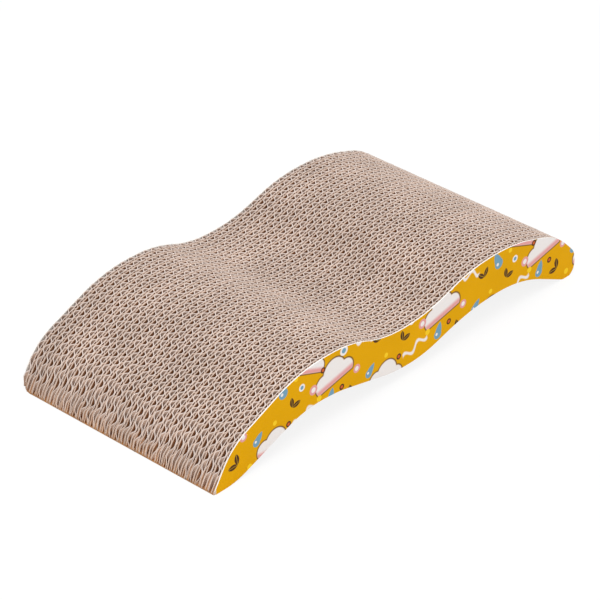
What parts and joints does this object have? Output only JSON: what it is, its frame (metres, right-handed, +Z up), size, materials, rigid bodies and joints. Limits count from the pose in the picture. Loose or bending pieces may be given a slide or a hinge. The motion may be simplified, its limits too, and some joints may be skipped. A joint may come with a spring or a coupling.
{
  "type": "cardboard cat scratcher",
  "caption": "Low wavy floor scratcher of upright corrugated cardboard strips glued side by side, with a printed card panel on each long side.",
  "frame": {"origin": "on the floor under the middle of the part's length and width", "axes": "+X from the low toe to the blunt nose along the strips, +Y from the near side panel to the far one, +Z up"},
  "size_m": [0.4, 0.198, 0.06],
  "materials": {
    "printed_card": "yellow printed card, satin",
    "kraft_liner": "matt brown kraft liner",
    "kraft_flute": "matt brown fluting paper"
  },
  "bodies": {
    "root": {"near_side_panel": "printed_card", "far_side_panel": "printed_card", "strip_01": "kraft_liner", "strip_02": "kraft_liner", "strip_03": "kraft_liner", "strip_04": "kraft_liner", "strip_05": "kraft_liner", "strip_06": "kraft_liner", "strip_07": "kraft_liner", "strip_08": "kraft_liner", "strip_09": "kraft_liner", "strip_10": "kraft_liner", "strip_11": "kraft_liner", "strip_12": "kraft_liner", "strip_13": "kraft_liner", "strip_14": "kraft_liner", "strip_15": "kraft_liner", "strip_16": "kraft_liner", "strip_17": "kraft_liner", "strip_18": "kraft_liner", "strip_19": "kraft_liner", "strip_20": "kraft_liner", "strip_21": "kraft_liner", "strip_22": "kraft_liner", "strip_23": "kraft_liner", "strip_24": "kraft_liner", "strip_25": "kraft_liner", "strip_26": "kraft_liner", "strip_27": "kraft_liner", "strip_28": "kraft_liner", "strip_29": "kraft_liner", "strip_30": "kraft_liner", "strip_31": "kraft_liner", "strip_32": "kraft_liner", "small_flutes": "kraft_flute", "large_flutes": "kraft_flute"}
  },
  "joints": []
}
